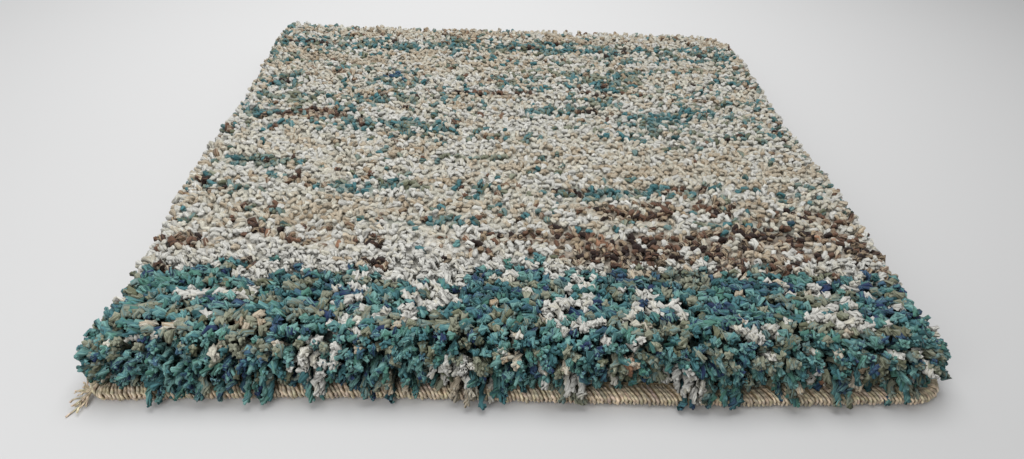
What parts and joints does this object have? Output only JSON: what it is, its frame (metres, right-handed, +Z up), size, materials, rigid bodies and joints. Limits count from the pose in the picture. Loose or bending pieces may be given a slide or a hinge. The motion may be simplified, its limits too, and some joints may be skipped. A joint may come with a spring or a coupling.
{
  "type": "small shag rug",
  "caption": "Small square rug with a thick twisted cut pile in streaked colours, flat underneath, its cut edge bound with overlocked yarn.",
  "frame": {"origin": "centre of the flat underside, on the floor", "axes": "+Z up out of the pile, +Y from the front edge towards the back edge, +X to the right as seen from the front"},
  "size_m": [0.3174, 0.3169, 0.025],
  "materials": {
    "pile_yarn": "cut pile of heat-set two-ply yarn in streaks of cream, beige, teal, navy, sage, brown and rust, on a woven ground",
    "binding_yarn": "overlocked tan yarn, stitch beside stitch"
  },
  "bodies": {
    "root": {"pile_cloth": "pile_yarn", "edge_binding": "binding_yarn"}
  },
  "joints": []
}
